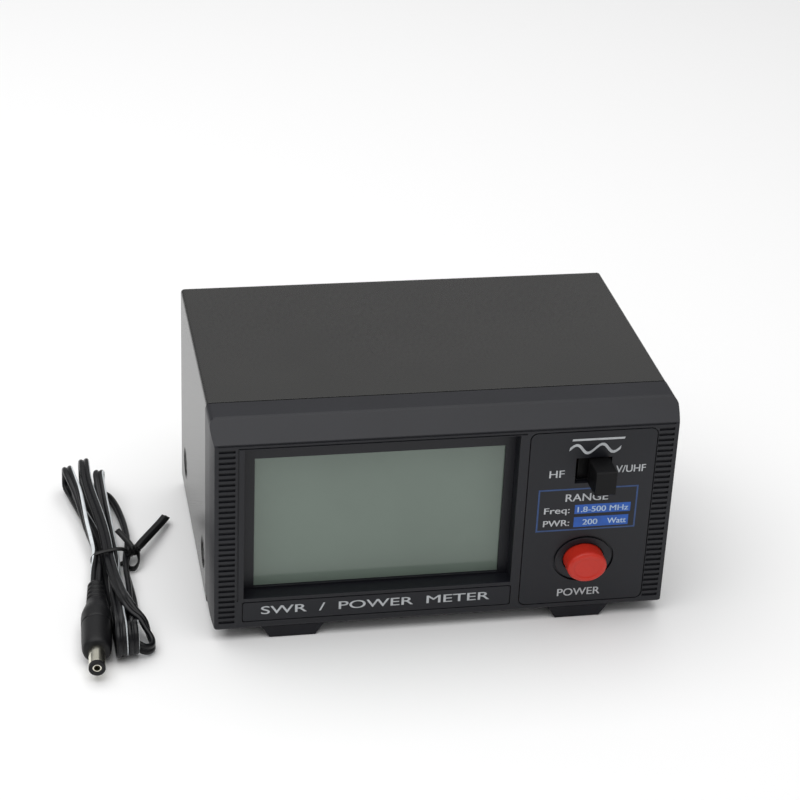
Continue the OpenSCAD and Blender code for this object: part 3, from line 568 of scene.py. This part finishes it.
def bare_ends():
    """The two tinned cores at the cord's free end, tucked into the hank."""
    points, faces = [], []
    x, y, z, tilt = ROUTE[-1]
    lift = math.sin(math.radians(tilt))
    turns = [math.radians(a) for a in range(0, 360, 30)]
    ring = [(BARE_R * math.cos(a), BARE_R * math.sin(a), 0) for a in turns]
    for side in (-1, 1):
        core = smooth_line([
            (x + side * 0.5, y - 0.5, z + side * 0.85 * lift, 0),
            (x + side * 0.6, y + 2, z + side * 0.9 * lift, 0),
            (x + side * 0.9, y + 5, z + side * 1.0 * lift, 0),
        ], 0.5)
        join(points, faces, sweep(core, ring))
    return mesh_from("lead_bare_ends", points, faces)


ends = piece("lead_bare_ends", bare_ends(), [TINNED], "power_lead")


def tie_section(w, t):
    """A flat strip, w wide and t thick, with a ridge over the wire along its middle."""
    half = [
        (-w / 2, 0), (-w / 2 + 0.1, t / 2), (-0.45, t / 2), (-0.2, t),
        (0.2, t), (0.45, t / 2), (w / 2 - 0.1, t / 2),
    ]
    return [*[(a, b, 0) for a, b in half], (w / 2, 0, 0), *[(-a, -b, 0) for a, b in half[1:]]]


def tie_band(points, faces):
    """The loop round the waist, whose width runs along the hank."""
    y, left, right, low, high = 50.6, -115.3, -102.5, 0.6, 7.4
    corners = [
        (right, y + 1.2, 4.4), (right - 0.9, y + 0.7, 6.2), (right - 3.4, y, 7.2),
        (-109.5, y - 0.9, high), (left + 3.6, y - 1.6, high), (left + 1.2, y - 2.0, 6.8),
        (left, y - 2.0, 5.0), (left + 0.5, y - 1.6, 2.2), (left + 2.2, y - 0.8, low),
        (-109.5, y + 0.3, low), (right - 2.2, y + 0.9, low), (right - 0.4, y + 1.2, 2.0),
    ]
    count = len(corners)
    loop = smooth_line([(*corners[i % count], 0) for i in range(-2, count + 3)], 0.6)
    # the line passes the first corner twice, and the band is what lies between
    half = len(loop) // 2
    start = min(range(half), key=lambda i: math.dist(loop[i][:3], corners[0]))
    stop = min(range(half, len(loop)), key=lambda i: math.dist(loop[i][:3], corners[0]))
    section, band = tie_section(2.0, 0.45), loop[start:stop]
    base = len(points)
    for i, row in enumerate(band):
        way = (Vector(band[(i + 1) % len(band)][:3]) - Vector(band[i - 1][:3])).normalized()
        width = Vector((0, 1, 0))
        width = (width - way * width.dot(way)).normalized()
        rise = width.cross(way)
        points += [table(*(Vector(row[:3]) + width * a + rise * b)) for a, b, _ in section]
    faces += rings(len(band), len(section), base, closed=True)


def tie_neck(phase):
    """One of the tie's two ends where they are twisted together, starting at phase."""
    turned, reach, steps = 560, 1.0, 24
    line = []
    for k in range(steps + 1):
        f = k / steps
        a = math.radians(phase + turned * f)
        line.append((
            -103.0 + 4.2 * f, 51.8 + 2.0 * f + reach * math.cos(a), 4.7 + reach * math.sin(a),
            math.degrees(a)
        ))
    return line


# The small ring under the neck, the flat tail, and the other end's short stub
TIE_RING = [
    (-99.2, 53.6, 4.4, 60), (-98.7, 51.2, 3.4, 75), (-99.2, 48.2, 2.0, 85),
    (-100.8, 46.2, 1.4, 90), (-102.3, 46.6, 1.5, 90), (-102.6, 48.8, 2.2, 90),
    (-102.0, 50.9, 3.4, 80),
]
TIE_TAIL = [
    (-99.4, 53.3, 4.7, 20), (-98.5, 55.0, 4.8, -4), (-97.2, 57.6, 4.7, -14),
    (-94.5, 62.6, 4.4, -16), (-91.4, 68.6, 3.8, -16), (-88.3, 75.0, 3.0, -16),
    (-86.8, 78.6, 2.5, -16),
]
TIE_STUB = [
    (-100.4, 52.6, 5.2, 30), (-101.3, 55.2, 5.7, 25), (-102.8, 58.6, 6.2, 20),
    (-105.4, 63.6, 7.0, 20),
]


def tie_mesh():
    """A wire tie round the waist: a loop, a twisted neck, a ring, a flat tail and a stub."""
    points, faces = [], []
    tie_band(points, faces)
    for line, w, t in (
        (tie_neck(0), 2.2, 0.8),
        (tie_neck(180), 2.2, 0.8),
        (smooth_line(TIE_RING, 0.6), 2.2, 0.4),
        (smooth_line(TIE_TAIL, 0.8), 3.3, 0.4),
        (smooth_line(TIE_STUB, 0.8), 2.1, 0.4),
    ):
        join(points, faces, sweep(line, tie_section(w, t)))
    return mesh_from("lead_tie", points, faces)


tie = piece("lead_tie", tie_mesh(), [TIE_PLASTIC], "power_lead")
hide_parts("twist_tie")


# Legends -----------------------------------------------------------------------------------

# How far the ink's face stands off the overlay, and its back
INK_UP = 0.03
INK_BACK = 0.005
# How much higher the second strike of a word lies, so that no two faces share a plane
STRIKE_UP = 0.004
# How far to the right it lies, which makes the letters bold
STRIKE_ASIDE = 0.1
# The built-in font's capital height at size 1
CAP = 0.727


def legend(name, words, ink, left, right, base, cap):
    """Printed words on the overlay, with their left and right edges, baseline and capital
    height. They are struck twice, a little apart."""
    curve = bpy.data.curves.new(name + "_words", "FONT")
    curve.body = words
    holder = bpy.data.objects.new(name + "_words", curve)
    bpy.context.scene.collection.objects.link(holder)
    bpy.context.view_layer.update()
    drawn = holder.evaluated_get(bpy.context.evaluated_depsgraph_get())
    flat = bpy.data.meshes.new_from_object(drawn)
    bpy.data.objects.remove(holder)
    spots = [v.co for v in flat.vertices]
    fill = [tuple(f.vertices) for f in flat.polygons]
    # an edge of the letters' outline belongs to one face of the fill only
    edges = {(f[k - 1], f[k]) for f in fill for k in range(len(f))}
    outline = sorted(edge for edge in edges if edge[::-1] not in edges)
    n = len(spots)
    back = [tuple(n + i for i in reversed(f)) for f in fill]
    solid = fill + back + [(b, a, n + a, n + b) for a, b in outline]
    low = min(v.x for v in spots)
    high = max(v.x for v in spots)
    wide, tall = (right - left - STRIKE_ASIDE) / (high - low), cap / CAP
    points, faces = [], []
    for start, rise in ((left, 0), (left + STRIKE_ASIDE, STRIKE_UP)):
        strike = [
            front(start + (v.x - low) * wide, -depth - rise, base + v.y * tall)
            for depth in (INK_UP, INK_BACK) for v in spots
        ]
        join(points, faces, (strike, solid))
    mesh = mesh_from(name, points, faces)
    return piece(name, mesh, [ink], "case", smooth=False)


def flat_shape(name, outlines, ink):
    """Printed areas: each outline is a ring of x and z."""
    points, faces = [], []
    for ring in outlines:
        start, n = len(points), len(ring)
        points += [front(x, -INK_UP, z) for x, z in ring]
        points += [front(x, -INK_BACK, z) for x, z in ring]
        faces += caps(2, n, start) + rings(2, n, start)
    mesh = mesh_from(name, points, faces)
    return piece(name, mesh, [ink], "case", smooth=False)


def bar(x0, x1, z0, z1):
    """An upright rectangle's outline."""
    return [(x0, z0), (x1, z0), (x1, z1), (x0, z1)]


legend("legend_title", "SWR  /  POWER  METER", INK_SILVER, -61.8, 16.5, 4.55, 3.2)
legend("legend_hf", "HF", INK_SILVER, 34.1, 39.3, 51.0, 2.9)
legend("legend_vhf", "V/UHF", INK_SILVER, 56.9, 67.3, 51.8, 2.8)
legend("legend_range", "RANGE", INK_SILVER, 40.4, 55.2, 41.5, 3.0)
legend("legend_freq", "Freq:", INK_SILVER, 33.3, 42.2, 37.0, 2.5)
legend("legend_power_row", "PWR:", INK_SILVER, 33.3, 42.4, 32.0, 2.5)
legend("legend_power", "POWER", INK_SILVER, 40.3, 55.4, 3.9, 3.0)

# The line round the range values: its outside edges and its width
BOX_L, BOX_R, BOX_B, BOX_T, LINE = 30.9, 65.45, 30.1, 46.5, 0.55
flat_shape(
    "legend_box",
    [
        bar(BOX_L, BOX_R, BOX_B, BOX_B + LINE), bar(BOX_L, BOX_R, BOX_T - LINE, BOX_T),
        bar(BOX_L, BOX_L + LINE, BOX_B + LINE, BOX_T - LINE),
        bar(BOX_R - LINE, BOX_R, BOX_B + LINE, BOX_T - LINE),
    ],
    INK_LINE
)
flat_shape("legend_bars", [bar(43.9, 63.3, 36.5, 40.0), bar(43.9, 62.9, 31.3, 35.2)], INK_BLUE)
# The values on the blue bars lie over the bars' ink
BAR_INK_UP = 0.02
for name, words, left, right, base in (
    ("legend_band", "1.8-500 MHz", 44.9, 62.6, 37.1),
    ("legend_watts_n", "200", 47.0, 52.2, 32.1),
    ("legend_watts", "Watt", 55.6, 62.2, 32.1),
):
    mark = legend(name, words, INK_PALE, left, right, base, 2.2)
    mark.data.transform(Matrix.Translation((0, -BAR_INK_UP * MM, 0)))


def wave_mark():
    """A plain silver sign over the switch: a leaning bar over two turns of a sine wave."""
    left, right, foot, top, lean = 40.0, 57.6, 59.6, 65.4, 0.16
    steps, thick, middle, swing = 48, 0.95, 1.9, 1.55
    upper, lower = [], []
    for k in range(steps + 1):
        f = k / steps
        x = left + (right - left) * f
        z = foot + middle + swing * math.sin(4 * math.pi * f)
        slope = swing * 4 * math.pi / (right - left) * math.cos(4 * math.pi * f)
        half = thick / 2 * math.sqrt(1 + slope * slope) ** 0.75
        upper.append((x + lean * (z + half - foot), z + half))
        lower.append((x + lean * (z - half - foot), z - half))
    waves = [[lower[k], lower[k + 1], upper[k + 1], upper[k]] for k in range(steps)]
    under = top - 0.75
    strip = [(left + 1.0, under), (right + 1.3, under), (right + 1.6, top), (left + 1.2, top)]
    return [*waves, strip]


flat_shape("legend_wave", wave_mark(), INK_SILVER)


# Rear coaxial sockets ----------------------------------------------------------------------

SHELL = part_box("socket_shells")
SOCKET_R = 7.94
SOCKET_Z = 39
SOCKET_PITCH = 34
FLANGE = 25.4
FLANGE_T = 2.6
# The shell's part inside the rear panel, which the simple solid's box includes
SPIGOT = 5
BARREL = (SHELL[1].y - SHELL[0].y) / MM - SPIGOT
REAR = (SHELL[1].y - FRONT.y) / MM - BARREL
FAR_X = SHELL[1].x / MM - FLANGE / 2
# 24 turns an inch
THREAD = 1.058
THREAD_DEPTH = 0.3
# The length of a row of faces along the thread
THREAD_ROW = 0.16
MOUTH_CHAMFER = 0.25
NOTCH_DEPTH = 0.9
NOTCH_ANGLE = 0.11


def mouth_notch(a):
    """How far the mouth is cut back at angle a: it has four narrow notches."""
    return NOTCH_DEPTH * max(0.0, 1 - abs(math.remainder(a, math.pi / 2)) / NOTCH_ANGLE) ** 0.3


def socket_mesh(x):
    """A barrel with a thread that fades out at its ends, and a notched mouth."""
    steps, rows = 96, round((BARREL - FLANGE_T) / THREAD_ROW)
    turns = [2 * math.pi * k / steps for k in range(steps)]
    points = []
    for i in range(rows + 1):
        y = FLANGE_T + (BARREL - FLANGE_T) * i / rows
        cut = min(1.0, (y - FLANGE_T) / 1.2, max(0.0, (BARREL - 0.5 - y) / 0.6))
        chamfer = MOUTH_CHAMFER if i == rows else 0
        for a in turns:
            turn = 2 * math.pi * (y / THREAD) - a
            r = SOCKET_R - THREAD_DEPTH * cut * (1 - math.cos(turn)) / 2 - chamfer
            notch = mouth_notch(a) if i > rows - 4 else 0
            points.append(front(x + r * math.cos(a), REAR + y - notch, SOCKET_Z + r * math.sin(a)))
    # the mouth's face and its inside
    for depth, r in ((0, 6.9), (-0.25, 6.42), (-8, 6.4)):
        for a in turns:
            y = REAR + BARREL + depth - (mouth_notch(a) if depth > -1 else 0)
            points.append(front(x + r * math.cos(a), y, SOCKET_Z + r * math.sin(a)))
    return points, rings(rows + 4, steps)


def flange_mesh(x):
    """The square flange with round corners and a soft edge."""
    half, corner, steps = FLANGE / 2, 1.5, 6
    flat = half - corner
    ring = []
    for i, (sx, sz) in enumerate(((1, 1), (-1, 1), (-1, -1), (1, -1))):
        for k in range(steps + 1):
            a = math.pi / 2 * (i + k / steps)
            ring.append((sx * flat + corner * math.cos(a), sz * flat + corner * math.sin(a)))
    points, n = [], len(ring)
    layers = ((0, 0), (FLANGE_T - 0.4, 0), (FLANGE_T - 0.1, 0.1), (FLANGE_T, 0.4))
    for y, shrink in layers:
        keep = 1 - shrink / half
        points += [front(x + a * keep, REAR + y, SOCKET_Z + b * keep) for a, b in ring]
    return points, rings(len(layers), n) + caps(len(layers), n)


def sockets():
    """All four sockets' barrels and flanges in one mesh."""
    points, faces = [], []
    for x in (-FAR_X, SOCKET_PITCH - FAR_X, FAR_X - SOCKET_PITCH, FAR_X):
        join(points, faces, socket_mesh(x))
        join(points, faces, flange_mesh(x))
    return mesh_from("coax_shells", points, faces)


shells = piece("coax_shells", sockets(), [NICKEL], "case")
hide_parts("socket_shells")


# Studio ------------------------------------------------------------------------------------

# The floor lies a little under the feet, so that it touches no piece.
FLOOR = 6
FLOOR_DROP = 0.0002
floor_mesh = bpy.data.meshes.new("floor")
corners = [(-FLOOR, -FLOOR, 0), (FLOOR, -FLOOR, 0), (FLOOR, FLOOR, 0), (-FLOOR, FLOOR, 0)]
floor_mesh.from_pydata(corners, [], [(0, 1, 2, 3)])
floor = bpy.data.objects.new("floor", floor_mesh)
floor.location.z = -FLOOR_DROP
bpy.context.scene.collection.objects.link(floor)
floor_mesh.materials.append(
    finish("floor_white", (0.93, 0.93, 0.93), 0.9, specular=0.0, shade=0.0, patch=0.01, depth=0.0)
)

# The sky is dark at the horizon and brighter overhead.
world = bpy.data.worlds.new("studio")
bpy.context.scene.world = world
world.use_nodes = True
sky = world.node_tree.nodes["Background"]
sky.inputs["Strength"].default_value = 1
way = add(world.node_tree, "ShaderNodeTexCoord")
rise = add(world.node_tree, "ShaderNodeSeparateXYZ")
link(world.node_tree, way.outputs["Generated"], rise.inputs["Vector"])
glow = mix(
    world.node_tree, spread(world.node_tree, rise.outputs["Z"], 0, 1, 0.05, 0.42),
    (0.1, 0.1, 0.105), (0.5, 0.5, 0.5)
)
link(world.node_tree, glow, sky.inputs["Color"])


def soft_box(name, at, towards, size, power):
    """A rectangular lamp that faces a point."""
    light = bpy.data.lights.new(name, "AREA")
    light.shape = "RECTANGLE"
    light.size, light.size_y = size
    light.energy = power
    holder = bpy.data.objects.new(name, light)
    bpy.context.scene.collection.objects.link(holder)
    holder.location = at
    holder.rotation_mode = "QUATERNION"
    holder.rotation_quaternion = (Vector(towards) - Vector(at)).to_track_quat("-Z", "Y")


soft_box("overhead", (-0.35, 0.0, 1.15), (-0.35, 0.0, 0), (1.7, 1.7), 15.5)

# The camera stands left of the front and looks down at it, a little rolled.
CAMERA_AT = Vector((-0.144, -0.6695, 0.4222))
AZIMUTH, ELEVATION, ROLL = (math.radians(a) for a in (-11.62, 28.02, 2.665))
FOCAL_LENGTH = 99.36
level = math.cos(ELEVATION)
back = Vector((math.sin(AZIMUTH) * level, -math.cos(AZIMUTH) * level, math.sin(ELEVATION)))
right = (-back).cross(Vector((0, 0, 1))).normalized()
up = right.cross(-back)
across = math.cos(ROLL) * right + math.sin(ROLL) * up
upward = -math.sin(ROLL) * right + math.cos(ROLL) * up
turned = Matrix((across, upward, back)).transposed().to_4x4()
lens = bpy.data.cameras.new("camera")
lens.lens = FOCAL_LENGTH
lens.sensor_width = 36
lens.clip_start = 0.01
camera = bpy.data.objects.new("camera", lens)
bpy.context.scene.collection.objects.link(camera)
camera.matrix_world = Matrix.Translation(CAMERA_AT) @ turned
bpy.context.scene.camera = camera
bpy.context.scene.view_settings.view_transform = "Standard"
